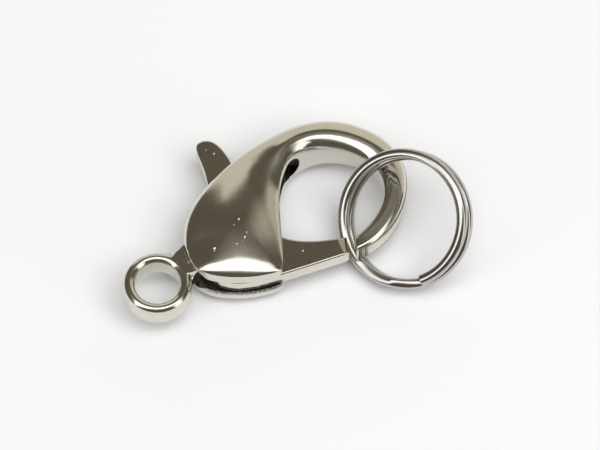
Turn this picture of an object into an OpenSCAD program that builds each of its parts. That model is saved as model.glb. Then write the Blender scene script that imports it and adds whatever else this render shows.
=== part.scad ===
// Lobster clasp with a split ring through its hook.
// Millimetres. The origin is the centre of the eye's hole at mid thickness,
// X runs towards the hook's nose, Y towards the thumb tab, Z is up.

/* [Casting] */
// Length from the edge of the eye to the nose of the hook
claw_l = 12.44; // [10:0.02:16]
// Width from the straight gate side to the top of the arch
clasp_w = 7.75; // [6:0.05:9.5]
// Thickness over the crown of the two walls
clasp_t = 3.5; // [2.9:0.05:4.4]

/* [Eye] */
// Diameter of the eye's hole
eye_hole_d = 2.3; // [1.8:0.05:2.8]
// Width of the metal round the eye's hole
eye_rim_w = 0.61; // [0.5:0.01:0.8]
// Thickness of the eye
eye_t = 1.4; // [1.1:0.05:1.9]
// Radius on the eye's edges
eye_edge_r = 0.26; // [0.1:0.01:0.3]

/* [Lever] */
// Thickness of the lever plate
lever_t = 0.9; // [0.8:0.01:1.1]
// Thickness at the very end of the gate
tip_t = 0.5; // [0.4:0.05:0.8]
// Length over which the gate thins to its end
tip_l = 0.9; // [0.5:0.1:1.6]
// Gap on each side of the lever in its slot
side_gap = 0.08; // [0.04:0.01:0.12]
// Gap between the gate's end and the tip of the hook
tip_gap = 0.3; // [0.15:0.05:0.5]
// Angle to which the gate is drawn open, 0 when it is shut
gate_open = 0; // [0:1:20]

/* [Pivot pin] */
// Diameter of the pin
pin_d = 0.9; // [0.7:0.05:1.1]
// Radial gap between the pin and the lever
pin_run_gap = 0.03; // [0.02:0.01:0.06]
// Radial gap between the pin and its seats
pin_seat_gap = 0.01; // [0.01:0.005:0.02]
// Depth of each seat in the walls
pin_seat_depth = 0.7; // [0.5:0.05:0.9]

/* [Split ring] */
// Outer diameter of the ring
ring_od = 7.1; // [6:0.1:8.4]
// Radial width of the ring's wire
wire_w = 0.46; // [0.35:0.01:0.6]
// Height of one turn of wire
wire_h = 0.52; // [0.4:0.01:0.6]
// Gap between the two turns
turn_gap = 0.06; // [0.02:0.01:0.1]
// Height kept between the ring and what it passes under and over
ring_gap = 0.1; // [0.08:0.01:0.2]

/* [Hidden] */

nickel = [0.78, 0.76, 0.71];
bright_nickel = [0.8, 0.79, 0.75];
steel = [0.7, 0.69, 0.67];

half_t = clasp_t / 2;
slot_t = lever_t + 2 * side_gap;
eye_r = eye_hole_d / 2;
eye_out_r = eye_r + eye_rim_w;

// A place in the plan, from shares of claw_l counted from the eye's edge, and
// shares of clasp_w counted from the gate side, which is in line with the eye
function at(u, v) = [eye_out_r + u * claw_l, v * clasp_w - eye_out_r];

// The gate's end at its middle, and the tip of the hook as a share of the length
GATE_END = at(0.663, 0.075);
tip_u = (GATE_END.x + tip_gap - eye_out_r) / claw_l;

// Sections of the casting, from the eye end round to the hook's tip.
// Shares of claw_l and clasp_w for the two rims, then of half_t for
// the crown and for the edge at each rim.
// [outer u, outer v, inner u, inner v, crown, outer edge, inner edge]
SECTIONS = [
    [0.015, 0.365, 0.013, 0.290, 0.66, 0.54, 0.54],
    [0.021, 0.440, 0.018, 0.215, 0.76, 0.56, 0.58],
    [0.048, 0.510, 0.055, 0.135, 0.88, 0.57, 0.61],
    [0.101, 0.615, 0.115, 0.075, 0.97, 0.57, 0.62],
    [0.178, 0.735, 0.201, 0.022, 1.00, 0.57, 0.62],
    [0.264, 0.826, 0.281, 0.001, 1.00, 0.57, 0.62],
    [0.333, 0.879, 0.336, 0.000, 1.00, 0.56, 0.62],
    [0.381, 0.910, 0.361, 0.030, 1.00, 0.55, 0.62],
    [0.429, 0.934, 0.390, 0.165, 1.00, 0.55, 0.62],
    [0.477, 0.954, 0.429, 0.375, 0.98, 0.54, 0.61],
    [0.532, 0.973, 0.466, 0.570, 0.93, 0.53, 0.60],
    [0.595, 0.988, 0.532, 0.735, 0.85, 0.51, 0.59],
    [0.663, 0.993, 0.618, 0.795, 0.79, 0.49, 0.57],
    [0.743, 0.980, 0.705, 0.780, 0.73, 0.46, 0.53],
    [0.829, 0.930, 0.788, 0.718, 0.66, 0.42, 0.47],
    [0.909, 0.833, 0.854, 0.622, 0.60, 0.38, 0.41],
    [0.971, 0.703, 0.885, 0.520, 0.56, 0.35, 0.37],
    [1.000, 0.545, 0.888, 0.420, 0.52, 0.32, 0.34],
    [0.985, 0.375, 0.868, 0.318, 0.48, 0.29, 0.31],
    [0.932, 0.215, 0.822, 0.228, 0.44, 0.27, 0.29],
    [0.849, 0.090, 0.760, 0.158, 0.40, 0.24, 0.25],
    [0.760, 0.022, 0.720, 0.122, 0.36, 0.23, 0.23],
    [tip_u, 0.006, tip_u + 0.014, 0.108, 0.33, 0.22, 0.22]
];
// Steps between two rows of the table, and steps across a section
row_steps = 2;
across = 12;
// Roundness of a section: 2 is an ellipse, more is squarer
crown_power = 2.6;

// A smooth curve through the rows of a table
function curve(rows, i, t) =
    let (n = len(rows),
         b = rows[i],
         c = rows[i + 1],
         a = i > 0 ? rows[i - 1] : 2 * b - c,
         d = i + 2 < n ? rows[i + 2] : 2 * c - b)
    0.5 * (2 * b + (c - a) * t + (2 * a - 5 * b + 4 * c - d) * t * t
           + (3 * b - a - 3 * c + d) * t * t * t);

function smooth(rows, steps) =
    [for (i = [0:len(rows) - 2], k = [0:steps - 1]) curve(rows, i, k / steps),
     rows[len(rows) - 1]];

// Half thickness of a section at the share s of the way from inner to outer rim
function half_height(row, s) =
    let (edge = row[6] + (row[5] - row[6]) * s)
    half_t * (edge + (row[4] - edge)
              * pow(max(0, 1 - pow(abs(2 * s - 1), crown_power)), 1 / crown_power));

function section_points(row) =
    let (outer = at(row[0], row[1]), inner = at(row[2], row[3]),
         top = [for (k = [0:across])
                let (s = (1 - cos(180 * k / across)) / 2,
                     p = inner + (outer - inner) * s)
                [p.x, p.y, half_height(row, s)]])
    concat(top, [for (k = [across:-1:0]) [top[k].x, top[k].y, -top[k].z]]);

// Triangles of a tube through rings of the same number of points
function tube_faces(rings, around) =
    concat(
        [for (i = [0:rings - 2], j = [0:around - 1])
            let (a = i * around + j, b = i * around + (j + 1) % around)
            each [[a, b, a + around], [b, b + around, a + around]]],
        [[for (j = [around - 1:-1:0]) j]],
        [[for (j = [0:around - 1]) (rings - 1) * around + j]]);

module walls_and_hook() {
    rows = smooth(SECTIONS, row_steps);
    polyhedron(points = [for (row = rows) each section_points(row)],
               faces = tube_faces(len(rows), 2 * (across + 1)));
}

module eye() {
    rotate_extrude($fn = 64)
        translate([eye_r, -eye_t / 2]) {
            translate([eye_edge_r, 0])
                square([eye_rim_w - 2 * eye_edge_r, eye_t]);
            translate([0, eye_edge_r])
                square([eye_rim_w, eye_t - 2 * eye_edge_r]);
            for (x = [eye_edge_r, eye_rim_w - eye_edge_r],
                 y = [eye_edge_r, eye_t - eye_edge_r])
                translate([x, y]) circle(r = eye_edge_r, $fn = 32);
        }
}

// A place on the eye's rim at an angle from the X axis
function on_eye(a) = (eye_out_r - eye_edge_r / 2) * [cos(a), sin(a)];

// Outline of the neck: over the top from the eye to the walls, and back below
NECK = concat([on_eye(69)],
              [for (p = [[-0.051, 0.417], [-0.018, 0.405], [0.007, 0.420],
                         [0.025, 0.452], [0.058, 0.440], [0.058, 0.205],
                         [0.017, 0.208], [0.001, 0.180]])
                  at(p[0], p[1])],
              [on_eye(-24), on_eye(20)]);

module neck() {
    neck_t = eye_t - eye_edge_r;
    difference() {
        translate([0, 0, -neck_t / 2])
            linear_extrude(neck_t)
                polygon(NECK);
        cylinder(r = eye_r + eye_edge_r, h = clasp_t, center = true, $fn = 64);
    }
}

// Pivot of the lever
PIVOT = at(0.300, 0.188);

// Outline of the lever plate, from the gate's upper edge round by its tip,
// the heel and the thumb tab, in shares of claw_l and clasp_w
LEVER = [[0.422, 0.267], [0.475, 0.213], [0.534, 0.178], [0.600, 0.152],
         [0.654, 0.137], [0.662, 0.128], [0.644, 0.022], [0.635, 0.010],
         [0.498, 0.008], [0.372, 0.010], [0.315, 0.046], [0.235, 0.060],
         [0.158, 0.087], [0.101, 0.140], [0.075, 0.196], [0.071, 0.260],
         [0.101, 0.345], [0.137, 0.455], [0.179, 0.660], [0.207, 0.820],
         [0.214, 0.930], [0.212, 1.045], [0.220, 1.092], [0.245, 1.107],
         [0.280, 1.098], [0.305, 1.070], [0.320, 1.025], [0.331, 0.940],
         [0.339, 0.870], [0.368, 0.760], [0.418, 0.700], [0.460, 0.655],
         [0.465, 0.610], [0.443, 0.480], [0.420, 0.370]];
lever_steps = 2;

function smooth_loop(rows, steps) =
    let (n = len(rows))
    [for (i = [0:n - 1], k = [0:steps - 1])
        curve([rows[(i + n - 1) % n], rows[i], rows[(i + 1) % n],
               rows[(i + 2) % n]], 1, k / steps)];

module lever_outline() {
    polygon([for (p = smooth_loop(LEVER, lever_steps)) at(p[0], p[1])]);
}

// Plan of the slot: open along the gate side, the mouth and the thumb side,
// closed at the neck and at the root of the hook
SLOT = [[0.009, 0.150], [0.011, 0.205], [0.041, 0.215], [0.053, 0.260],
        [0.055, 0.330], [0.050, 0.440], [0.055, 0.530], [0.018, 0.600],
        [0.201, 1.100], [0.343, 1.100], [0.343, 0.880], [0.378, 0.800],
        [0.429, 0.775], [0.498, 0.790], [0.555, 0.818], [0.585, 0.822],
        [0.606, 0.795], [0.610, 0.700], [0.543, 0.200], [0.429, -0.150],
        [0.009, -0.150]];

module slot() {
    translate([0, 0, -slot_t / 2])
        linear_extrude(slot_t)
            polygon([for (p = SLOT) at(p[0], p[1])]);
}

module clasp_body() {
    color(nickel)
        difference() {
            union() {
                walls_and_hook();
                neck();
                eye();
            }
            slot();
            translate(PIVOT)
                cylinder(r = pin_d / 2 + pin_seat_gap,
                         h = slot_t + 2 * pin_seat_depth, center = true, $fn = 48);
        }
}

// The gate thins evenly on both faces towards its end
module tip_cuts() {
    for (side = [0, 1])
        mirror([0, 0, side])
            rotate([90, 0, 0])
                linear_extrude(2 * clasp_w, center = true)
                    polygon([[GATE_END.x - tip_l, lever_t / 2], [GATE_END.x, tip_t / 2],
                             [GATE_END.x + lever_t, tip_t / 2],
                             [GATE_END.x + lever_t, lever_t], [GATE_END.x - tip_l, lever_t]]);
}

module lever() {
    color(bright_nickel)
        translate(PIVOT) rotate(gate_open) translate(-PIVOT)
            difference() {
                translate([0, 0, -lever_t / 2])
                    linear_extrude(lever_t) lever_outline();
                tip_cuts();
                translate(PIVOT)
                    cylinder(r = pin_d / 2 + pin_run_gap, h = clasp_t,
                             center = true, $fn = 48);
            }
}

module pivot_pin() {
    pin_l = slot_t + 2 * pin_seat_depth - 2 * pin_seat_gap;
    color(steel)
        translate(PIVOT)
            cylinder(d = pin_d, h = pin_l, center = true, $fn = 48);
}

// The ring's middle line passes under the gate's end and over the hook
UNDER = at(0.692, 0.103);
OVER = at(0.864, 0.517);
// Height of the metal at the two places, as shares of half_t
under_share = 0.272;
over_share = 0.4;
// Rise of the ring's plane for each millimetre away from the clasp
ring_lean = 0.38;
// Where the upper turn ends, and how long the step from turn to turn is
ring_end_deg = 257;
step_deg = 26;
end_space_deg = 3;
// Segments in a full turn of the ring, and sides of its wire
turn_segments = 60;
wire_corner = 0.3;

function step_up(a, a0, a1) =
    a <= a0 ? 0 : a >= a1 ? 1 : (1 - cos(180 * (a - a0) / (a1 - a0))) / 2;

// Half section of the wire: an octagon of its width and height
function wire_section() =
    let (x = wire_w / 2, y = wire_h / 2, c = wire_corner * min(wire_w, wire_h))
    [[x, y - c], [x - c, y], [c - x, y], [-x, y - c],
     [-x, c - y], [c - x, -y], [x - c, -y], [x, c - y]];

module ring_wire() {
    mid_r = (ring_od - wire_w) / 2;
    rise = wire_h + turn_gap;
    total_deg = 720 - step_deg - 2 * end_space_deg;
    n = ceil(total_deg / 360 * turn_segments);
    step_from = (total_deg - step_deg) / 2;
    rings = [for (i = [0:n])
        let (a = total_deg * i / n,
             z = rise * (0.5 - step_up(a, step_from, step_from + step_deg)))
        for (p = wire_section())
            let (r = mid_r + p[0], b = ring_end_deg + a)
            [r * cos(b), r * sin(b), z + p[1]]];
    polyhedron(points = rings, faces = tube_faces(n + 1, 8));
}

module split_ring() {
    color(steel)
        multmatrix(ring_frame()) ring_wire();
}

// Frame of the ring: its plane holds both places and leans by ring_lean, and
// its centre is the wire's radius from each
function unit(v) = v / norm(v);
function ring_frame() =
    let (stack_h = 2 * wire_h + turn_gap,
         above = max(lever_t / 2, half_t * under_share),
         under = [UNDER.x, UNDER.y, -above - stack_h / 2 - ring_gap],
         over = [OVER.x, OVER.y, half_t * over_share + stack_h / 2 + ring_gap],
         chord = over - under,
         away = unit([chord.y, -chord.x]),
         w = unit(cross([away.x, away.y, ring_lean], chord)),
         reach = sqrt(pow((ring_od - wire_w) / 2, 2) - pow(norm(chord) / 2, 2)),
         centre = (under + over) / 2 + reach * unit(cross(chord, w)),
         u = unit(cross([0, 1, 0], w)),
         v = cross(w, u))
    [[u.x, v.x, w.x, centre.x],
     [u.y, v.y, w.y, centre.y],
     [u.z, v.z, w.z, centre.z],
     [0, 0, 0, 1]];

clasp_body();
lever();
pivot_pin();
split_ring();
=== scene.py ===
"""Looks of a lobster clasp with a split ring in its hook.

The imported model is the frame: +X runs from the eye to the nose of the hook, +Y to the thumb tab, +Z up.
Shapes are worked out in millimetres and turned into metres when their mesh is made.
"""
import math

import bmesh
import bpy
import numpy as np
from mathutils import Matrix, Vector


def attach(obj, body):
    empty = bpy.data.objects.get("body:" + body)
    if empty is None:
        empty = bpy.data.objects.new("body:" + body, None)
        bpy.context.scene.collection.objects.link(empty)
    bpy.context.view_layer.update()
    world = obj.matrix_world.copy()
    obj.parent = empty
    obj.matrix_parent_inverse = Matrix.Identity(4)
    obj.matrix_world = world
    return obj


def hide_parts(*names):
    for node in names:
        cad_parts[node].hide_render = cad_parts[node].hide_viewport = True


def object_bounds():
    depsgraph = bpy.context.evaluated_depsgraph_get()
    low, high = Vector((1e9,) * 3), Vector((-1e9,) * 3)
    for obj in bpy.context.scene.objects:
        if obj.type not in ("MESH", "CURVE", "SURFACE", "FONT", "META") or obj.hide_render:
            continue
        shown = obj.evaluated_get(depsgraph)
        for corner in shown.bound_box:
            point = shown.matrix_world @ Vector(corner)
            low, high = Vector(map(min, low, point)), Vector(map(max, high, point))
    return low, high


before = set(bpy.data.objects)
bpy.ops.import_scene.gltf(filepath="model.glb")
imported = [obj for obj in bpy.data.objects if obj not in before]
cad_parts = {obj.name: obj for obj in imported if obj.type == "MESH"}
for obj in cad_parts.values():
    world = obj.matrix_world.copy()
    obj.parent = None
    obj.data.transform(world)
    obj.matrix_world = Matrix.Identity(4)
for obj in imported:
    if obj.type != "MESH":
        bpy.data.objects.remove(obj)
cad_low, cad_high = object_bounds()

# Walls and hook.
# The clasp's body is one casting of plated zinc: two domed walls with a slot between them for the lever.
# They run together at the root of the hook and go on round to its tip. It is tumbled and polished all over.
MM = 0.001
CLAW_LENGTH = 12.44
CLASP_WIDTH = 7.75
HALF_THICKNESS = 1.75
EYE_HOLE_RADIUS = 1.15
EYE_RIM = 0.61
EYE_OUTER_RADIUS = EYE_HOLE_RADIUS + EYE_RIM
SLOT_HALF = 0.53
GATE_END_U = 0.663
TIP_GAP = 0.3
TIP_U = GATE_END_U + TIP_GAP / CLAW_LENGTH

# Sections from the neck round to the hook's tip, as shares of the length, the width and the half thickness:
# outer rim u and v, inner rim u and v, crown height, outer rim height, inner rim height
SECTIONS = np.array([
    [0.015, 0.365, 0.013, 0.290, 0.66, 0.44, 0.49],
    [0.021, 0.440, 0.018, 0.215, 0.78, 0.47, 0.56],
    [0.040, 0.514, 0.055, 0.135, 0.90, 0.53, 0.61],
    [0.083, 0.622, 0.115, 0.075, 0.97, 0.57, 0.62],
    [0.168, 0.740, 0.201, 0.022, 1.00, 0.57, 0.62],
    [0.264, 0.826, 0.281, 0.001, 1.00, 0.57, 0.62],
    [0.333, 0.879, 0.336, 0.000, 1.00, 0.56, 0.62],
    [0.381, 0.910, 0.361, 0.030, 1.00, 0.55, 0.62],
    [0.429, 0.934, 0.390, 0.165, 1.00, 0.55, 0.62],
    [0.477, 0.954, 0.429, 0.375, 0.98, 0.54, 0.61],
    [0.532, 0.973, 0.466, 0.570, 0.94, 0.53, 0.66],
    [0.595, 0.988, 0.532, 0.735, 0.88, 0.50, 0.72],
    [0.663, 0.993, 0.618, 0.795, 0.81, 0.46, 0.50],
    [0.743, 0.980, 0.705, 0.780, 0.74, 0.42, 0.37],
    [0.829, 0.930, 0.788, 0.718, 0.66, 0.37, 0.33],
    [0.909, 0.833, 0.854, 0.622, 0.60, 0.32, 0.30],
    [0.971, 0.703, 0.885, 0.520, 0.56, 0.29, 0.28],
    [1.000, 0.545, 0.888, 0.420, 0.52, 0.26, 0.26],
    [0.985, 0.375, 0.868, 0.318, 0.48, 0.23, 0.24],
    [0.932, 0.215, 0.822, 0.228, 0.44, 0.20, 0.21],
    [0.849, 0.090, 0.760, 0.158, 0.40, 0.18, 0.18],
    [0.760, 0.022, 0.720, 0.122, 0.36, 0.23, 0.23],
    [TIP_U, 0.006, TIP_U + 0.014, 0.108, 0.33, 0.22, 0.22],
])

# Plan of the slot, in the same shares
SLOT = np.array([
    [0.005, 0.150], [0.007, 0.237], [0.041, 0.245], [0.053, 0.280], [0.055, 0.330], [0.050, 0.440],
    [0.055, 0.530], [0.018, 0.600], [0.201, 1.100], [0.343, 1.100], [0.343, 0.880], [0.378, 0.800],
    [0.429, 0.775], [0.498, 0.790], [0.555, 0.818], [0.585, 0.822], [0.606, 0.795], [0.610, 0.700],
    [0.543, 0.200], [0.429, -0.150], [0.009, -0.150],
])


def plan(shares):
    """Points in the plan, in millimetres: u counts from the eye's edge, v from the gate side."""
    shares = np.asarray(shares, float)
    scale = np.array([CLAW_LENGTH, CLASP_WIDTH])
    start = np.array([EYE_OUTER_RADIUS, -EYE_OUTER_RADIUS])
    return start + shares * scale


def spline(rows, where, closed=False, hold=0.7):
    """A curve of continuous curvature through a table's rows, at the row numbers in where.

    It is a uniform cubic B-spline. Its control points are the rows, moved by hold times what the first
    curve misses them by, which keeps the form and takes the small unevenness out of the table.
    """
    rows = np.asarray(rows, float)

    def padded(points):
        if closed:
            return np.concatenate([points[-1:], points, points[:2]])
        first = 2 * points[:1] - points[1:2]
        last = 2 * points[-1:] - points[-2:-1]
        return np.concatenate([first, points, last])

    def at(points, t):
        last_span = len(points) - (1 if closed else 2)
        span = np.clip(np.floor(t).astype(int), 0, last_span)
        f = (t - span)[:, None]
        held = padded(points)
        weights = [(1 - f) ** 3, 3 * f ** 3 - 6 * f ** 2 + 4, -3 * f ** 3 + 3 * f ** 2 + 3 * f + 1, f ** 3]
        return sum(w * held[span + k] for k, w in enumerate(weights)) / 6

    whole = np.arange(len(rows), dtype=float)
    points = rows + hold * (rows - at(rows, whole))
    if not closed:
        points[[0, -1]] = rows[[0, -1]]
    return at(points, np.asarray(where, float))


def smooth_step(x):
    """0 below x = 0, 1 above x = 1, and a step between that starts and ends level."""
    x = np.clip(x, 0, 1)
    return x ** 2 * (3 - 2 * x)


def quarter_round(x):
    """The height of a quarter circle, which climbs upright from 0 at x = 0 and is level from x = 1 on."""
    return np.sqrt(1 - (1 - np.clip(x, 0, 1)) ** 2)


def quarter_turn(steps):
    """Angles of a quarter turn, in radians."""
    return np.linspace(0, math.pi / 2, steps)


def close_at_ends(steps):
    """Shares from 0 to 1 that lie close together at both ends: half of 1 less the cosine of even angles."""
    return (1 - np.cos(np.linspace(0, math.pi, steps + 1))) / 2


def both_faces(patch):
    """A grid and its mirror image in the plane of the slot."""
    return [patch, patch * np.array([1, 1, -1])]


ROWS_PER_SECTION = 10
FINE_ROWS_PER_SECTION = 50
FINE_STRETCHES = [(0.72, 1.1), (11.6, 12.0)]


class Sections:
    """The casting's sections in their order, with their sizes in millimetres, one row to a section.

    A section is drawn from its inner rim, x = 0, to its outer rim, x = its width. The number of a section
    is its place in the table, and there are more of them where the slot ends.
    """

    def __init__(self):
        last = len(SECTIONS) - 1
        number = np.linspace(0, last, last * ROWS_PER_SECTION + 1)
        for start, end in FINE_STRETCHES:
            number = np.union1d(number, np.arange(start, end, 1 / FINE_ROWS_PER_SECTION).round(6))
        table = spline(SECTIONS, number)[:, None]
        self.number = number[:, None]
        self.outer = plan(table[..., 0:2])
        self.inner = plan(table[..., 2:4])
        self.crown, self.outer_edge, self.inner_edge = (HALF_THICKNESS * table[..., k] for k in (4, 5, 6))
        self.width = np.linalg.norm(self.outer - self.inner, axis=-1)
        self.across = (self.outer - self.inner) / self.width[..., None]

    def points(self, x, z, rows=slice(None)):
        """Points at x across the sections, or across the one section in rows, and at the height z."""
        x, z = np.broadcast_arrays(x, z)
        return np.concatenate([self.inner[rows] + self.across[rows] * x[..., None], z[..., None]], -1)


def inside(outline, points):
    """Which points lie inside a closed outline, by counting the edges crossed on the way to the right."""
    x, y = points[..., 0, None], points[..., 1, None]
    ax, ay = outline[:, 0], outline[:, 1]
    bx, by = np.roll(ax, -1), np.roll(ay, -1)
    spans = (ay > y) != (by > y)
    crossing = ax + (y - ay) * (bx - ax) / np.where(by == ay, 1, by - ay)
    return (spans & (x < crossing)).sum(-1) % 2 == 1


# A place along the casting is the number of its section here and below
SLOT_SAMPLES = 400
NEARLY_THROUGH = 0.97
SLOT_END_ROUNDING = [0.3, 0.6]
SLOT_FLARE = 0.62
SLOT_FLARE_SECTIONS = [1.3, 2.1, 10.6, 11.2]
LIP_RADIUS = 0.06
WINDOW_LIP_ROWS = 3


class Slot:
    """The slot for the lever, one row to a section: a channel from the inner rim to the depth in its plan.

    Where that reaches the outer rim it goes through, as the window for the thumb tab. The opening closes in
    a quarter ellipse at both ends, and just before them it flares into small pockets. Its edges have a lip.
    """

    def __init__(self, body):
        samples = np.linspace(0, 1, SLOT_SAMPLES)
        cut = inside(plan(SLOT), body.inner + (body.outer - body.inner) * samples[:, None])[:, 1:]
        depth = np.where(cut.all(1), 1, np.argmin(cut, 1) / (SLOT_SAMPLES - 1))[:, None]
        self.first, self.final = np.flatnonzero(depth > 0)[[0, -1]]
        self.left, self.right = np.flatnonzero(depth > NEARLY_THROUGH)[[0, -1]]
        from_first = (body.number - body.number[self.first]) / SLOT_END_ROUNDING[0]
        from_final = (body.number[self.final] - body.number) / SLOT_END_ROUNDING[1]
        flare = 1 + SLOT_FLARE * smooth_step(np.interp(body.number, SLOT_FLARE_SECTIONS, [1, 0, 0, 1]))
        self.half_open = SLOT_HALF * flare * quarter_round(np.minimum(from_first, from_final))
        self.lip = np.minimum(LIP_RADIUS, np.minimum(depth * body.width / 3, self.half_open / 2))
        row = np.arange(len(depth))[:, None]
        in_window = np.minimum(row - self.left, self.right - row) / WINDOW_LIP_ROWS
        self.outer_lip = LIP_RADIUS * np.clip(in_window, 0, 1)
        jambs = [self.left, self.right]
        beside = np.where(depth > NEARLY_THROUGH, 1, depth)
        beside[jambs] = depth[[self.left - 1, self.right + 1]]
        self.end = beside * body.width
        self.bend = np.interp(body.number, body.number[jambs, 0], beside[jambs, 0]) * body.width


def distance_to(line, points):
    """The distance from each point to a line of short straight stretches, all in the plan."""
    start, stretch = line[:-1], np.diff(line, axis=0)
    away = points[..., None, :] - start
    along = np.clip((away * stretch).sum(-1) / (stretch ** 2).sum(-1), 0, 1)
    return np.linalg.norm(away - along[..., None] * stretch, axis=-1).min(-1)


CORNER_SECTION = 6.6
NOSE_SECTION = 15.5
NOSE_FALL = 0.5
TIP_SECTION = 18.5
TIP_FALL = 0.27
POCKET_SECTION = 11.0
POCKET_REACH = 1.3
POCKET_FALL = 0.3
EYE_END_SECTIONS = [2.5, 5.5]
EYE_END_CUT = 0.35


def dome(body, share):
    """Heights of a wall's outer face at these shares of the way across each section.

    The face falls off from the crown towards each rim as a quarter ellipse does, over half the section's
    width, and over less of it towards the tip. What counts is the shortest way to the rim. The inner rim is
    two, the gate side and the hook side, which meet at the body's lower corner, and beside the slot's
    pocket the hook side falls off over less. Towards the eye the ellipse is cut off short of the outer rim.
    """
    outer, inner = body.outer[:, 0], body.inner[:, 0]
    corner = np.searchsorted(body.number[:, 0], CORNER_SECTION)
    fall = np.interp(body.number, [NOSE_SECTION, TIP_SECTION], [NOSE_FALL, TIP_FALL]) * body.width
    near_pocket = np.exp(-((body.number - POCKET_SECTION) / POCKET_REACH) ** 2)
    hook_fall = fall * (1 - POCKET_FALL * near_pocket)
    cut_from, cut_to = EYE_END_SECTIONS
    cut = EYE_END_CUT * smooth_step((cut_to - body.number) / (cut_to - cut_from))
    rims = [
        (np.stack([inner[0], outer[0]]), fall, cut), (outer, fall, cut),
        (inner[:corner + 1], fall, 0), (inner[corner:], hook_fall, 0),
    ]
    points = body.inner + (body.outer - body.inner) * share[:, None]
    bulge = np.ones(points.shape[:2])
    for rim, reach, at_rim in rims:
        from_crest = 1 - np.clip(distance_to(rim, points) / reach, 0, 1)
        bulge *= (np.sqrt(1 - (1 - at_rim ** 2) * from_crest ** 2) - at_rim) / (1 - at_rim)
    edge = body.inner_edge + (body.outer_edge - body.inner_edge) * share
    return edge + (body.crown - edge) * bulge


PROFILE_STEPS = 52
LIP_STEPS = 5
FLANK_STEPS = 4


def wall_profile(body, slot):
    """The x and z of one wall, one row to a section.

    They run over the slot's lip, a quarter circle, then an upright flank, the dome, a flank and a lip.
    """
    turn = quarter_turn(LIP_STEPS)
    up_flank = np.linspace(0, 1, FLANK_STEPS + 1)[1:-1]
    share = close_at_ends(PROFILE_STEPS)
    lip_x = slot.lip * (1 - np.sin(turn))
    lip_z = slot.half_open + slot.lip * (1 - np.cos(turn))
    flank_z = lip_z[:, -1:] + (body.inner_edge - lip_z[:, -1:]) * up_flank
    outer_flank_z = body.outer_edge + (SLOT_HALF + slot.outer_lip - body.outer_edge) * up_flank
    outer_lip_x = body.width - slot.outer_lip * (1 - np.cos(turn))
    outer_lip_z = SLOT_HALF + slot.outer_lip * (1 - np.sin(turn))
    x = np.hstack([lip_x, 0 * flank_z, share * body.width, body.width + 0 * outer_flank_z, outer_lip_x])
    z = np.hstack([lip_z, flank_z, dome(body, share), outer_flank_z, outer_lip_z])
    return x, z


FLOOR_STEPS = 14
SPINE_STEPS = 10
UPRIGHT_STEPS = 6
DOWNWARDS = np.linspace(1, -1, UPRIGHT_STEPS + 1)


def slot_faces(body, slot):
    """Grids of the slot's insides: the sides are level across each section, and the ends are upright.

    First come the channel's two sides and its end, before and after the window, and then the window's two
    sides and its jambs.
    """
    side_share = np.linspace(0, 1, FLOOR_STEPS + 1)
    spine_share = np.linspace(0, 1, SPINE_STEPS + 1)
    side = body.points(slot.lip + (slot.end - slot.lip) * side_share, slot.half_open)
    end = body.points(slot.end, slot.half_open * DOWNWARDS)
    window_end = body.width - slot.outer_lip
    window_x = np.hstack([
        slot.lip + (slot.bend - slot.lip) * side_share,
        slot.bend + (window_end - slot.bend) * spine_share[1:],
    ])
    window = body.points(window_x, slot.half_open)

    def jamb(row):
        x = slot.end[row] + (window_end[row] - slot.end[row]) * spine_share[:, None]
        return body.points(x, SLOT_HALF * DOWNWARDS, row)

    before = slice(slot.first, slot.left + 1)
    after = slice(slot.right, slot.final + 1)
    return [
        *both_faces(side[before]), *both_faces(side[after]), end[before], end[after],
        *both_faces(window[slot.left:slot.right + 1]), jamb(slot.left), jamb(slot.right),
    ]


END_ROUNDING = 0.1
END_STEPS = 7


def end_cap(body, row, outwards, x, z):
    """Grid that closes one end: rings that shrink towards the section's middle, round and then flat.

    The first rings move inwards and out along a quarter circle. outwards is 1 at the neck and -1 at the
    tip. x and z are the section's border.
    """
    turn = quarter_turn(END_STEPS)
    crown, middle = body.crown[row], body.width[row] / 2
    inset = np.concatenate([END_ROUNDING * (1 - np.cos(turn)), crown / 2, crown])
    forward = END_ROUNDING * np.append(np.sin(turn), [1, 1])
    share = 1 - inset[:, None] / crown
    cap = body.points(middle + (x - middle) * share, z * share, row)
    across_x, across_y = body.across[row, 0]
    cap[..., :2] += forward[:, None, None] * np.array([-across_y, across_x]) * outwards
    return cap


def walls_and_hook():
    """Grids of the casting without its eye, and each one's material: 0 is polished, 1 is the slot's painted
    shade.
    """
    body = Sections()
    slot = Slot(body)
    x, z = wall_profile(body, slot)
    outer_wall = body.points(body.width, SLOT_HALF * DOWNWARDS)
    polished = [*both_faces(body.points(x, z)), outer_wall[:slot.left + 1], outer_wall[slot.right:]]
    for row, outwards in ((0, 1), (len(x) - 1, -1)):
        polished += both_faces(end_cap(body, row, outwards, x[row], z[row]))
        polished.append(end_cap(body, row, outwards, body.width[row], SLOT_HALF * DOWNWARDS))
    shaded_slot_faces = slot_faces(body, slot)
    return polished + shaded_slot_faces, [0] * len(polished) + [1] * len(shaded_slot_faces)


# Points closer than the first are one point, and an edge shorter than the second has no length
SAME_POINT = 0.0002
NO_LENGTH = 0.00005


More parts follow.
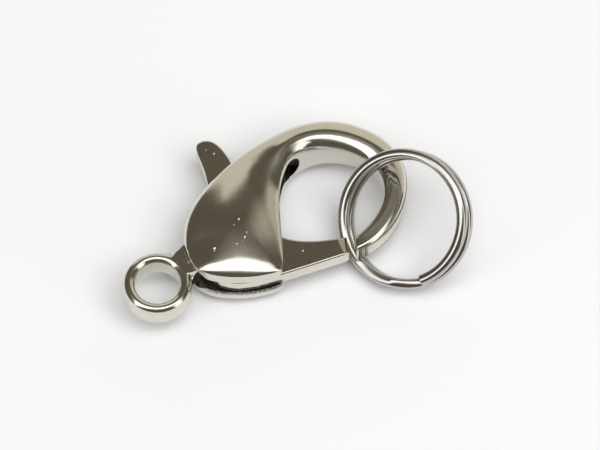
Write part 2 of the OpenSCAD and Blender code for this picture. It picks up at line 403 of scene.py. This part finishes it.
def shell(patches, skins=None):
    """One closed shell of grids of points, in millimetres.

    Each grid is rows by columns by three. Neighbouring grids share their border points, which are merged,
    so that the shell closes, and its faces are turned outwards. skins has each grid's material number.
    """
    points, quads, skin, start = [], [], [], 0
    for patch, number in zip(patches, skins or [0] * len(patches)):
        rows, columns = patch.shape[:2]
        index = start + np.arange(rows * columns).reshape(rows, columns)
        corners = [index[:-1, :-1], index[1:, :-1], index[1:, 1:], index[:-1, 1:]]
        quads.append(np.stack(corners, -1).reshape(-1, 4))
        skin.append(np.full(len(quads[-1]), number))
        points.append(patch.reshape(-1, 3))
        start += rows * columns
    mesh = bpy.data.meshes.new("shell")
    mesh.from_pydata(np.concatenate(points), [], np.concatenate(quads))
    mesh.polygons.foreach_set("material_index", np.concatenate(skin))
    work = bmesh.new()
    work.from_mesh(mesh)
    bpy.data.meshes.remove(mesh)
    bmesh.ops.remove_doubles(work, verts=work.verts, dist=SAME_POINT)
    bmesh.ops.dissolve_degenerate(work, edges=work.edges, dist=NO_LENGTH)
    bmesh.ops.recalc_face_normals(work, faces=work.faces)
    if work.calc_volume(signed=True) < 0:
        bmesh.ops.reverse_faces(work, faces=work.faces)
    return work


SHARP_EDGE = math.radians(38)


def piece_from(name, work, reshape=None):
    """Makes one object of a shell. Its faces are shaded smooth, and the sharper edges stay crisp.

    reshape takes the shell's points in millimetres and gives their last places.
    """
    mesh = bpy.data.meshes.new(name)
    work.to_mesh(mesh)
    work.free()
    points = np.empty(3 * len(mesh.vertices), np.float32)
    mesh.vertices.foreach_get("co", points)
    if reshape:
        points = reshape(points.reshape(-1, 3)).ravel()
    mesh.vertices.foreach_set("co", points * np.float32(MM))
    mesh.polygons.foreach_set("use_smooth", np.ones(len(mesh.polygons), bool))
    mesh.update()
    mesh.set_sharp_from_angle(angle=SHARP_EDGE)
    piece = bpy.data.objects.new(name, mesh)
    bpy.context.scene.collection.objects.link(piece)
    return piece


casting = piece_from("casting", shell(*walls_and_hook()))

# Eye and neck.
# The eye is a round loop cast in one with the walls, and the neck is the flat web that carries it. Both are
# thinner than the walls, and the loop runs softly into the web.
EYE_HALF = 0.7
EYE_STEPS = 48
EYE_WALL_STEPS = 8
NECK_ROUNDING = 0.2
NECK_GROWS_OVER = 0.4
NECK_OUTLINE_STEPS = 8
NECK_SHARES = [
    [-0.051, 0.417], [-0.018, 0.405], [0.007, 0.420], [0.030, 0.440], [0.058, 0.420],
    [0.062, 0.320], [0.058, 0.225], [0.022, 0.215], [0.001, 0.180],
]
EYE_OUTLINE_FIRST_DEG = -24
EYE_OUTLINE_LAST_DEG = -291
EYE_OUTLINE_POINTS = 25


def smooth_outline(points, steps, hold=0.85):
    """A closed outline of continuous curvature through listed points."""
    return spline(points, np.arange(len(points) * steps) / steps, closed=True, hold=hold)


def eye_and_neck():
    """Grids of the eye with its neck: rays run from the hole's edge to the outline round both.

    Along a ray the half height is the loop's, an upright wall with a half round crown. Where the outline
    stands out from the loop, the half beyond the crown turns into the neck's flat web with a rounded edge.
    Upright walls close the hole and the outline.
    """
    bearing = np.radians(np.linspace(EYE_OUTLINE_FIRST_DEG, EYE_OUTLINE_LAST_DEG, EYE_OUTLINE_POINTS))
    loop_points = EYE_OUTER_RADIUS * np.stack([np.cos(bearing), np.sin(bearing)], -1)
    outline = smooth_outline(np.vstack([plan(NECK_SHARES), loop_points]), NECK_OUTLINE_STEPS)
    outline = np.vstack([outline, outline[:1]])
    distance = np.linalg.norm(outline, axis=1)[:, None]
    outer = np.maximum(distance, EYE_OUTER_RADIUS)
    radius = EYE_HOLE_RADIUS + (outer - EYE_HOLE_RADIUS) * close_at_ends(EYE_STEPS)
    crown = EYE_RIM / 2
    from_crown = np.clip((radius - EYE_HOLE_RADIUS) / crown - 1, -1, 1)
    loop = EYE_HALF - crown + crown * np.sqrt(1 - from_crown ** 2)
    web = EYE_HALF - NECK_ROUNDING + NECK_ROUNDING * quarter_round((outer - radius) / NECK_ROUNDING)
    grown = smooth_step((outer - EYE_OUTER_RADIUS) / NECK_GROWS_OVER) * (from_crown > 0)
    half = loop + (web - loop) * grown
    flat = (outline / distance)[:, None] * radius[..., None]
    upright = np.linspace(1, -1, EYE_WALL_STEPS + 1)
    walls = [
        np.concatenate([np.repeat(flat[:, [k]], len(upright), 1), (half[:, [k]] * upright)[..., None]], -1)
        for k in (0, -1)
    ]
    return [*both_faces(np.concatenate([flat, half[..., None]], -1)), *walls]


def join(base, *others):
    """Puts the meshes of other objects into the first one's and removes those objects."""
    work = bmesh.new()
    for piece in (base, *others):
        work.from_mesh(piece.data)
    work.to_mesh(base.data)
    work.free()
    for piece in others:
        bpy.data.objects.remove(piece)


eye = piece_from("eye", shell(eye_and_neck()))
join(casting, eye)


class Wire:
    """One output of a shader node. Python's operators on it add the Math node that they name."""

    def __init__(self, tree, socket=None):
        self.tree = tree
        self.socket = socket

    def node(self, kind, settings=None, inputs=None, output=0):
        """Adds a node: its settings are set first, then its inputs get numbers, colours or links."""
        made = self.tree.nodes.new(kind)
        for name, value in (settings or {}).items():
            setattr(made, name, value)
        for name, value in (inputs or {}).items():
            if isinstance(value, Wire):
                self.tree.links.new(value.socket, made.inputs[name])
            else:
                made.inputs[name].default_value = value
        return Wire(self.tree, made.outputs[output])

    def feed(self, shader, name):
        """Links this output to an input of the shader that ends the tree."""
        self.tree.links.new(self.socket, shader.inputs[name])

    def math(self, operation, *values):
        """Adds a Math node that works out the operation on these numbers or outputs, in their order."""
        return self.node("ShaderNodeMath", {"operation": operation}, dict(enumerate(values)))

    def __add__(self, other):
        return self.math("ADD", self, other)

    def __sub__(self, other):
        return self.math("SUBTRACT", self, other)

    def __rsub__(self, other):
        return self.math("SUBTRACT", other, self)

    def __mul__(self, other):
        return self.math("MULTIPLY", self, other)

    def __truediv__(self, other):
        return self.math("DIVIDE", self, other)

    def __rtruediv__(self, other):
        return self.math("DIVIDE", other, self)

    def __pow__(self, other):
        return self.math("POWER", self, other)

    def __rpow__(self, other):
        return self.math("POWER", other, self)

    __radd__ = __add__
    __rmul__ = __mul__

    def rise(self, low, high):
        """0 below low, 1 above high, and a smooth step between."""
        settings = {"interpolation_type": "SMOOTHSTEP"}
        return self.node("ShaderNodeMapRange", settings, {"Value": self, "From Min": low, "From Max": high})

    def mix(self, one, two):
        """The first colour where this is 0, the second where it is 1."""
        settings = {"data_type": "RGBA"}
        return self.node("ShaderNodeMix", settings, {0: self, 6: one, 7: two}, output=2)

    def noise(self, scale, detail):
        """Noise over this place, with so many grains to the metre."""
        return self.node("ShaderNodeTexNoise", {}, {"Vector": self, "Scale": scale, "Detail": detail})

    def away_from(self, point):
        """The distance from this place to a point in millimetres, in metres."""
        ends = {0: self, 1: tuple(MM * k for k in point)}
        return self.node("ShaderNodeVectorMath", {"operation": "DISTANCE"}, ends, output="Value")

    def in_mm(self):
        """The x, y and z of this place in millimetres."""
        return [self.node("ShaderNodeSeparateXYZ", {}, {"Vector": self}, output=k) / MM for k in range(3)]


# A noise is its grains to the metre and its detail.
# A range is where in its noise the second tone starts and where it is full.
CLOUD_NOISE = (420.0, 5.0)
CLOUD_RANGE = (0.3, 0.7)
CLOUD_SHARE = 0.7
GRAIN_NOISE = (9000.0, 3.0)
GRAIN_RANGE = (0.35, 0.7)
GRAIN_SHARE = 0.3
GRAIN_MM = 0.0005
WEAR_NOISE = (3200.0, 5.0)
WEAR_GLOSS = 0.08
WEAR_MM = 0.0012
WAVE_NOISE = (700.0, 2.0)
WAVE_MM = 0.004
GRIT_RANGE = (0.25, 0.55)
GRIT_MM = 0.02
GRIT_GLOSS = 0.15
# Colour of the dark grains along the cast seam, also used black as painted shade on the lever's heel
GRIT_AND_SHADE_COLOUR = (0.05, 0.045, 0.035, 1)


def metal(name, colour, dark, roughness, pits=(), grit_and_shade=None):
    """Polished plated metal: cloudy tone, fine wear in the gloss, a soft waviness, and casting pits.

    pits are x, y, z, radius and depth in millimetres. The mask given last works out where the metal is left
    as cast, grainy and matt, and on the lever's heel where painted shade darkens it: from a place on the
    piece it gives 1 there and 0 elsewhere.
    """
    material = bpy.data.materials.new(name)
    material.use_nodes = True
    tree = material.node_tree
    shader = tree.nodes["Principled BSDF"]
    place = Wire(tree).node("ShaderNodeTexCoord", output="Object")
    cloud = place.noise(*CLOUD_NOISE)
    wear = place.noise(*WEAR_NOISE)
    grain = place.noise(*GRAIN_NOISE)
    wave = place.noise(*WAVE_NOISE)
    darker = cloud.rise(*CLOUD_RANGE) * CLOUD_SHARE + grain.rise(*GRAIN_RANGE) * GRAIN_SHARE
    tone = darker.mix(colour, dark)
    gloss = roughness + (wear - 0.5) * WEAR_GLOSS
    grain_mm = GRAIN_MM
    # Dark grains where the mask is high: the cast seam's own tone, and painted shade on the lever's heel
    if grit_and_shade:
        grit_and_shade_mask = grit_and_shade(place)
        grain_mm = GRAIN_MM + grit_and_shade_mask * GRIT_MM
        tone = (grit_and_shade_mask * grain.rise(*GRIT_RANGE)).mix(tone, GRIT_AND_SHADE_COLOUR)
        gloss = gloss + grit_and_shade_mask * GRIT_GLOSS
    height = wave * WAVE_MM + wear * WEAR_MM + grain * grain_mm
    for x, y, z, radius, depth in pits:
        height = height - (1 - place.away_from((x, y, z)).rise(0, radius * MM)) * depth
    tone.feed(shader, "Base Color")
    gloss.feed(shader, "Roughness")
    shader.inputs["Metallic"].default_value = 1.0
    bump = place.node("ShaderNodeBump", {}, {"Height": height, "Strength": 1.0, "Distance": MM})
    bump.feed(shader, "Normal")
    return material


# Casting pits as x, y, z, radius and depth
PITS = [
    (3.23, 0.31, 1.60, 0.15, 0.045), (4.95, 1.45, 1.73, 0.08, 0.026), (5.53, 1.98, 1.73, 0.06, 0.018),
    (4.89, 0.38, 1.70, 0.09, 0.032), (5.08, 0.61, 1.71, 0.08, 0.028), (4.37, 0.15, 1.68, 0.06, 0.018),
    (4.72, 0.22, 1.69, 0.05, 0.016), (5.16, 0.30, 1.70, 0.05, 0.016), (4.60, 1.22, 1.72, 0.04, 0.010),
]

# Where the rough stretch starts and is full, or starts to fade and is gone, in millimetres
SEAM_LOW_Z = (-0.85, -0.62)
SEAM_HIGH_Z = (-0.5, -0.42)
SEAM_FAR_Y = (-0.9, -0.5)
SEAM_LEFT_X = (2.0, 2.5)
SEAM_RIGHT_X = (6.2, 6.6)
SEAM_SHARE = 0.8


def beside_slot(place):
    """High along the lower wall's edge at the gate side, where the casting's seam was never polished."""
    x, y, z = place.in_mm()
    band = z.rise(*SEAM_LOW_Z) * (1 - z.rise(*SEAM_HIGH_Z))
    return band * (1 - y.rise(*SEAM_FAR_Y)) * x.rise(*SEAM_LEFT_X) * (1 - x.rise(*SEAM_RIGHT_X)) * SEAM_SHARE


cast_nickel = metal(
    "cast_nickel", colour=(0.73, 0.705, 0.635, 1), dark=(0.67, 0.645, 0.58, 1), roughness=0.12,
    pits=PITS, grit_and_shade=beside_slot,
)
casting.data.materials.append(cast_nickel)
# The slot's insides are matt, and their near-black colour is painted shade for the hollow between the walls.
slot_shaded_matt = metal("slot_shaded_matt", colour=(0.13, 0.12, 0.10, 1), dark=(0.05, 0.045, 0.04, 1), roughness=0.4)
casting.data.materials.append(slot_shaded_matt)
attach(casting, "clasp")
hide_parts("clasp_body")

# Lever.
# One flat piece of plated metal: the gate that shuts the hook, the heel in the slot and the thumb tab.
# It is blanked from sheet and tumbled, so that its edges are soft, and it turns on the hidden pin.
LEVER_HALF = 0.45
LEVER_ROUNDING = 0.11
LEVER_ROUNDING_STEPS = 7
TIP_HALF = 0.34
TIP_LENGTH = 0.5

# How far inside the outline the face's flat middle starts, in roundings
FACE_BORDER = 1.25

# Outline of the plate, in the shares of the plan
LEVER = np.array([
    [0.412, 0.285], [0.475, 0.216], [0.534, 0.178], [0.600, 0.152], [0.654, 0.137], [0.662, 0.128],
    [0.644, 0.022], [0.635, 0.010], [0.498, 0.008], [0.372, 0.010], [0.315, 0.014], [0.235, 0.022],
    [0.165, 0.050], [0.115, 0.098], [0.080, 0.175], [0.071, 0.260], [0.101, 0.345], [0.137, 0.455],
    [0.179, 0.660], [0.207, 0.820], [0.216, 0.930], [0.216, 1.045], [0.222, 1.105], [0.236, 1.130],
    [0.262, 1.136], [0.295, 1.110], [0.318, 1.050], [0.335, 0.955], [0.341, 0.870], [0.368, 0.760],
    [0.418, 0.700], [0.466, 0.668], [0.474, 0.615], [0.444, 0.480], [0.408, 0.375],
])
LEVER_OUTLINE_STEPS = 10
LEVER_HOLD = 1.1


def plate(outline):
    """Grids of a flat plate with rounded edges, open in the middle of both faces.

    Each ring is the outline, moved inwards along its normals by a quarter circle's share of the rounding
    as it climbs to the face. One more flat ring inside keeps the face's shading level.
    """
    tangent = np.roll(outline, -1, 0) - np.roll(outline, 1, 0)
    normal = np.stack([tangent[:, 1], -tangent[:, 0]], -1)
    normal /= np.linalg.norm(normal, axis=1)[:, None]
    area = (outline[:, 0] * np.roll(outline[:, 1], -1) - outline[:, 1] * np.roll(outline[:, 0], -1)).sum()
    inward = -normal * np.sign(area)
    turn = quarter_turn(LEVER_ROUNDING_STEPS)
    inset = LEVER_ROUNDING * np.concatenate([[0], 1 - np.cos(turn), [FACE_BORDER]])
    climb = LEVER_HALF - LEVER_ROUNDING + LEVER_ROUNDING * np.sin(turn)
    height = np.concatenate([[0], climb, [LEVER_HALF]])
    rings = outline[None] + inward[None] * inset[:, None, None]
    z = np.repeat(height[:, None], len(outline), 1)
    rings = np.concatenate([rings, z[..., None]], -1)
    rings = np.concatenate([rings, rings[:, :1]], 1)
    return both_faces(rings)


def close_faces(work, bend):
    """Closes a plate's two faces with one flat face each, cut along x = bend so that it can fold there."""
    border = [edge for edge in work.edges if edge.is_boundary]
    bmesh.ops.holes_fill(work, edges=border, sides=0)
    everything = [*work.verts, *work.edges, *work.faces]
    bmesh.ops.bisect_plane(work, geom=everything, plane_co=(bend, 0, 0), plane_no=(1, 0, 0))
    bmesh.ops.recalc_face_normals(work, faces=work.faces)
    return work


tip_bend = plan([GATE_END_U, 0])[0] - TIP_LENGTH


def thinned(points):
    """Past the bend the plate thins evenly to the gate's end."""
    past_bend = np.clip((points[:, 0] - tip_bend) / TIP_LENGTH, 0, 1)
    points[:, 2] *= 1 - past_bend * (1 - TIP_HALF / LEVER_HALF)
    return points


lever_outline = smooth_outline(plan(LEVER), LEVER_OUTLINE_STEPS, LEVER_HOLD)
lever = piece_from("gate_lever", close_faces(shell(plate(lever_outline)), tip_bend), thinned)
LEVER_PITS = [
    (7.62, -0.77, 0.45, 0.06, 0.018), (5.26, 6.09, 0.45, 0.06, 0.018), (4.95, 6.45, 0.45, 0.04, 0.01),
]

# Where the painted shade on the heel starts to fade and is gone, in millimetres
HEEL_SHADE_FAR_Y = (-1.0, -0.7)
HEEL_SHADE_RIGHT_X = (5.9, 6.3)
HEEL_SHADE_HIGH_Z = (-0.22, -0.02)
HEEL_SHADE_SHARE = 3


def heel_edge_shade(place):
    """High on the low part of the heel's edge in the slot, where painted shade stands for the slot's shadow.

    It goes over 1 there, so that the painted shade is black all over.
    """
    x, y, z = place.in_mm()
    near = (1 - y.rise(*HEEL_SHADE_FAR_Y)) * (1 - x.rise(*HEEL_SHADE_RIGHT_X))
    return near * (1 - z.rise(*HEEL_SHADE_HIGH_Z)) * HEEL_SHADE_SHARE


# The heel's low edge in the slot carries painted shade, black in grains.
lever_nickel = metal(
    "lever_nickel", colour=(0.73, 0.70, 0.62, 1), dark=(0.67, 0.64, 0.56, 1), roughness=0.13,
    pits=LEVER_PITS, grit_and_shade=heel_edge_shade,
)
lever.data.materials.append(lever_nickel)
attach(lever, "lever")
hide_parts("lever")

# Pivot pin.
# A plain drawn steel pin across the slot, seated in both walls and hidden by them.
# It is the CAD piece as it stands, with its own finish.
pin_steel = metal("pin_steel", colour=(0.60, 0.59, 0.57, 1), dark=(0.50, 0.49, 0.47, 1), roughness=0.3)
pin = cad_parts["pivot_pin"]
pin.data.materials.clear()
pin.data.materials.append(pin_steel)

# Split ring.
# Hard plated wire wound in two close turns. It passes under the end of the gate and over the hook, and
# the wire steps from the upper turn to the lower one just before the upper one has come round.
RING_OUTER = 7.2
WIRE_WIDTH = 0.56
WIRE_HEIGHT = 0.55
TURN_GAP = 0.03
SLIP = 0.07
RING_GAP = 0.1

# Where the ring passes under the gate and over the hook, and their heights there in half thicknesses
UNDER = plan([0.692, 0.103])
OVER = plan([0.864, 0.517])
UNDER_SHARE = 0.272
OVER_SHARE = 0.4
RING_LEAN = 0.38
RING_START_DEG = 257
STEP_DEG = 26
END_SPACE_DEG = 3
COIL_DEG = 2 * 360 - STEP_DEG - 2 * END_SPACE_DEG
COIL_RADIUS = (RING_OUTER - WIRE_WIDTH) / 2
RING_STEPS = 640
WIRE_STEPS = 32
WIRE_POWER = 2.4
WIRE_END_ROUNDING = 0.06
WIRE_END_NARROWS = 0.28
WIRE_END_STEPS = 6


def ring_frame():
    """The ring's centre and its three axes.

    Its plane holds the chord between the places under the gate and over the hook, and leans away from the
    clasp. Its centre lies beside the chord's middle, one radius from both places.
    """
    stack = 2 * WIRE_HEIGHT + TURN_GAP
    above = max(LEVER_HALF, HALF_THICKNESS * UNDER_SHARE)
    under = np.array([*UNDER, -above - stack / 2 - RING_GAP])
    over = np.array([*OVER, HALF_THICKNESS * OVER_SHARE + stack / 2 + RING_GAP])
    chord = over - under
    away = np.array([chord[1], -chord[0]]) / math.hypot(chord[0], chord[1])
    w = np.cross([away[0], away[1], RING_LEAN], chord)
    w /= np.linalg.norm(w)
    reach = math.sqrt(COIL_RADIUS ** 2 - (np.linalg.norm(chord) / 2) ** 2)
    side = np.cross(chord, w)
    centre = (under + over) / 2 + reach * side / np.linalg.norm(side)
    u = np.cross([0, 1, 0], w)
    u /= np.linalg.norm(u)
    return centre, u, np.cross(w, u), w


def wire_ends(turned):
    """Degrees along the coil, closer together at its ends, and the wire's size there as a share.

    Each end narrows as a quarter circle does and closes at a point in its flat face.
    """
    round_deg = math.degrees(WIRE_END_ROUNDING / COIL_RADIUS)
    ends = round_deg * (1 - np.sin(quarter_turn(WIRE_END_STEPS)))
    between = turned[(turned > round_deg) & (turned < COIL_DEG - round_deg)]
    turned = np.concatenate([ends[::-1], between, COIL_DEG - ends])
    from_end = np.minimum(turned, COIL_DEG - turned) / round_deg
    size = 1 - (1 - quarter_round(from_end)) * WIRE_END_NARROWS
    return np.concatenate([[0], turned, [COIL_DEG]]), np.concatenate([[0], size, [0]])


def wound_wire():
    """Grid of the wire: a superellipse carried along two turns of a coil, closed and rounded at both ends.

    The wire steps down by one turn's height in a half cosine. The two turns have slipped a little on
    each other, the upper one towards the picture's top.
    """
    turned = np.linspace(0, COIL_DEG, RING_STEPS + 1)
    stepped = np.clip((turned - (COIL_DEG - STEP_DEG) / 2) / STEP_DEG, 0, 1)
    level = 0.5 - (1 - np.cos(math.pi * stepped)) / 2
    at, size = wire_ends(turned)
    level = np.interp(at, turned, level)[:, None]
    angle = np.linspace(0, 2 * math.pi, WIRE_STEPS + 1)
    cos, sin = np.cos(angle), np.sin(angle)
    wide = WIRE_WIDTH / 2 * np.sign(cos) * np.abs(cos) ** (2 / WIRE_POWER)
    high = WIRE_HEIGHT / 2 * np.sign(sin) * np.abs(sin) ** (2 / WIRE_POWER)
    bearing = np.radians(RING_START_DEG + at)[:, None]
    radius = COIL_RADIUS + size[:, None] * wide
    height = (WIRE_HEIGHT + TURN_GAP) * level + size[:, None] * high
    along_u = radius * np.cos(bearing)
    along_v = radius * np.sin(bearing) + SLIP * level
    centre, u, v, w = ring_frame()
    return centre + along_u[..., None] * u + along_v[..., None] * v + height[..., None] * w


ring = piece_from("split_ring_wire", shell([wound_wire()]))
ring_steel = metal("ring_steel", colour=(0.56, 0.54, 0.515, 1), dark=(0.47, 0.45, 0.43, 1), roughness=0.12)
ring.data.materials.append(ring_steel)
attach(ring, "clasp")
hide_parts("split_ring")

# Camera.
# It looks down on the clasp from the photograph's side and height, through a long lens.
# Its distance and its aim are in millimetres, and the picture is 600 pixels wide.
CAMERA_AZIMUTH = math.radians(-20)
CAMERA_ELEVATION = math.radians(62)
PICTURE_WIDTH_PX = 600
PIXELS_PER_MM = 19.6
AIM_RIGHT = 7.27
AIM_UP = 3.204
CAMERA_DISTANCE = 420.0
SENSOR = 36.0
NEAREST_SEEN = 0.01
FURTHEST_SEEN = 50
right = Vector((math.cos(CAMERA_AZIMUTH), math.sin(CAMERA_AZIMUTH), 0))
far = Vector((-math.sin(CAMERA_AZIMUTH), math.cos(CAMERA_AZIMUTH), 0))
overhead = Vector((0, 0, 1))
back = overhead * math.sin(CAMERA_ELEVATION) - far * math.cos(CAMERA_ELEVATION)
up = overhead * math.cos(CAMERA_ELEVATION) + far * math.sin(CAMERA_ELEVATION)
aim = right * AIM_RIGHT + up * AIM_UP
camera = bpy.data.objects.new("camera", bpy.data.cameras.new("camera"))
camera.data.sensor_width = SENSOR
camera.data.lens = SENSOR * CAMERA_DISTANCE / (PICTURE_WIDTH_PX / PIXELS_PER_MM)
camera.data.clip_start = NEAREST_SEEN
camera.data.clip_end = FURTHEST_SEEN
camera.rotation_mode = "QUATERNION"
camera.location = (aim + back * CAMERA_DISTANCE) * MM
camera.rotation_quaternion = (-back).to_track_quat("-Z", "Y")
bpy.context.scene.collection.objects.link(camera)
bpy.context.scene.camera = camera
bpy.context.scene.view_settings.view_transform = "Standard"

# Floor.
# A plain pale sheet of card on which the clasp lies. It is large enough to fill the picture from any side,
# and its size is in metres.
FLOOR_SIZE = 6.0
CARD_COLOUR = (0.79, 0.797, 0.815, 1)
CARD_ROUGHNESS = 0.9
CARD_SHEEN = 0.1
floor_sides = (-FLOOR_SIZE / 2, FLOOR_SIZE / 2)
floor_corners = [(x, y, cad_low.z) for x in floor_sides for y in floor_sides]
floor_mesh = bpy.data.meshes.new("floor")
floor_mesh.from_pydata(floor_corners, [], [(0, 2, 3, 1)])
floor = bpy.data.objects.new("floor", floor_mesh)
bpy.context.scene.collection.objects.link(floor)
card = bpy.data.materials.new("card")
card.use_nodes = True
card_shader = card.node_tree.nodes["Principled BSDF"]
card_shader.inputs["Base Color"].default_value = CARD_COLOUR
card_shader.inputs["Roughness"].default_value = CARD_ROUGHNESS
card_shader.inputs["Specular IOR Level"].default_value = CARD_SHEEN
floor_mesh.materials.append(card)

# Studio.
# A dark room with pale walls on its far and right side and a bright panel overhead, as the metal shows it.
# A soft lamp overhead, a little to the near right, gives the floor its light and its shadows. The metal
# doesn't show the lamp.
ROOM_COLOUR = (0.118, 0.104, 0.081, 1)
RIGHT_COLOUR = (0.55, 0.52, 0.43, 1)
WALL_COLOUR = (0.70, 0.675, 0.575, 1)
STRIP_COLOUR = (1.5, 1.5, 1.45, 1)
GLOW_COLOUR = (0.90, 0.88, 0.80, 1)
PANEL_COLOUR = (2.0, 2.0, 2.0, 1)
BELOW_COLOUR = (0.80, 0.80, 0.78, 1)

# The room is drawn on a map: degrees from overhead, sky_x to the picture's right and sky_y to its far side.
# A pair says where an area starts and where it is full, or where it starts to fade and where it is gone.
# An edge that slants is a line from one place to another and the width of the step across it.
RIGHT_SIDE_LEFT_X = (11, 28)
RIGHT_SIDE_NEAR_Y = (21, 28)
RIGHT_SIDE_FADE_X = (40, 52)
RIGHT_SIDE_FADE = 0.7
WALL_NEAR_Y = (38, 42)
WALL_LEFT_EDGE = ((-13, 40), (-42, 67), 6)
SIDE_WALL_LEFT_X = (42, 50)
SIDE_WALL_NEAR_Y = (18, 30)
WALLS_RIGHT_X = (95, 110)
STRIP_LEFT_X = (28, 36)
STRIP_NEAR_EDGE = ((30, -30), (70, -60), 8)
STRIP_FAR_EDGE = ((20, 8), (95, -40), 14)
PANEL_LEFT_EDGE = ((-54, -22), (-22, 8), 8)
PANEL_NEAR_EDGE = ((-60, -40), (0, -22), 8)
PANEL_RIGHT_X = (28, 36)
PANEL_FAR_Y = (4, 8)
GLOW_LEFT_EDGE = ((-60, -22), (-22, 8), 30)
GLOW_RIGHT_X = (10, 30)
GLOW_NEAR_Y = (-40, -20)
GLOW_FAR_Y = (8, 30)
GLOW_SHARE = 0.35
HORIZON = (88, 91)

# Keeps the map from dividing by 0 straight overhead
NO_SPREAD = 1e-9
world = bpy.data.worlds.new("studio")
bpy.context.scene.world = world
world.use_nodes = True
sky_tree = world.node_tree
sky = Wire(sky_tree)
sky_direction = sky.node("ShaderNodeTexCoord", output="Generated")


def toward(axis):
    """How far the looked-up direction points along an axis, from -1 to 1."""
    settings = {"operation": "DOT_PRODUCT"}
    return sky.node("ShaderNodeVectorMath", settings, {0: sky_direction, 1: tuple(axis)}, output="Value")


def left_of(start, end, soft):
    """1 on the left of the line from start to end, 0 on its right, and a step soft degrees wide between."""
    along_x, along_y = end[0] - start[0], end[1] - start[1]
    distance = ((sky_y - start[1]) * along_x - (sky_x - start[0]) * along_y) / math.hypot(along_x, along_y)
    return distance.rise(-soft / 2, soft / 2)


from_overhead = sky.math("ARCCOSINE", toward(overhead)) * math.degrees(1)
spread = from_overhead / sky.math("SQRT", toward(right) ** 2 + toward(far) ** 2 + NO_SPREAD)
sky_x = toward(right) * spread
sky_y = toward(far) * spread
right_side = sky_x.rise(*RIGHT_SIDE_LEFT_X) * (1 - sky_x.rise(*RIGHT_SIDE_FADE_X) * RIGHT_SIDE_FADE)
right_side = right_side * sky_y.rise(*RIGHT_SIDE_NEAR_Y)
walls_end = 1 - sky_x.rise(*WALLS_RIGHT_X)
wall = (1 - left_of(*WALL_LEFT_EDGE)) * sky_y.rise(*WALL_NEAR_Y) * walls_end
side_wall = sky_x.rise(*SIDE_WALL_LEFT_X) * walls_end * sky_y.rise(*SIDE_WALL_NEAR_Y)
strip = left_of(*STRIP_NEAR_EDGE) * (1 - left_of(*STRIP_FAR_EDGE)) * sky_x.rise(*STRIP_LEFT_X)
panel = (1 - left_of(*PANEL_LEFT_EDGE)) * (1 - sky_y.rise(*PANEL_FAR_Y)) * left_of(*PANEL_NEAR_EDGE)
panel = panel * (1 - sky_x.rise(*PANEL_RIGHT_X))
glow = (1 - left_of(*GLOW_LEFT_EDGE)) * (1 - sky_y.rise(*GLOW_FAR_Y)) * (1 - sky_x.rise(*GLOW_RIGHT_X))
glow = glow * sky_y.rise(*GLOW_NEAR_Y) * GLOW_SHARE
sky_colour = right_side.mix(ROOM_COLOUR, RIGHT_COLOUR)
sky_colour = sky.math("MAXIMUM", wall, side_wall).mix(sky_colour, WALL_COLOUR)
sky_colour = strip.mix(sky_colour, STRIP_COLOUR)
sky_colour = glow.mix(sky_colour, GLOW_COLOUR)
sky_colour = panel.mix(sky_colour, PANEL_COLOUR)
sky_colour = from_overhead.rise(*HORIZON).mix(sky_colour, BELOW_COLOUR)
sky_colour.feed(sky_tree.nodes["Background"], "Color")

# The lamp's size and distance are in metres
LAMP_SIZE = 0.5
LAMP_DISTANCE = 0.45
LAMP_WATTS = 1.6
LAMP_LEAN = 0.3
lamp_data = bpy.data.lights.new("soft_lamp", "AREA")
lamp_data.shape = "DISK"
lamp_data.size = LAMP_SIZE
lamp_data.energy = LAMP_WATTS
lamp = bpy.data.objects.new("soft_lamp", lamp_data)
lamp_direction = (overhead + right * LAMP_LEAN - far * LAMP_LEAN).normalized()
lamp.location = aim * MM + lamp_direction * LAMP_DISTANCE
lamp.rotation_mode = "QUATERNION"
lamp.rotation_quaternion = (-lamp_direction).to_track_quat("-Z", "Y")
lamp.visible_glossy = False
bpy.context.scene.collection.objects.link(lamp)
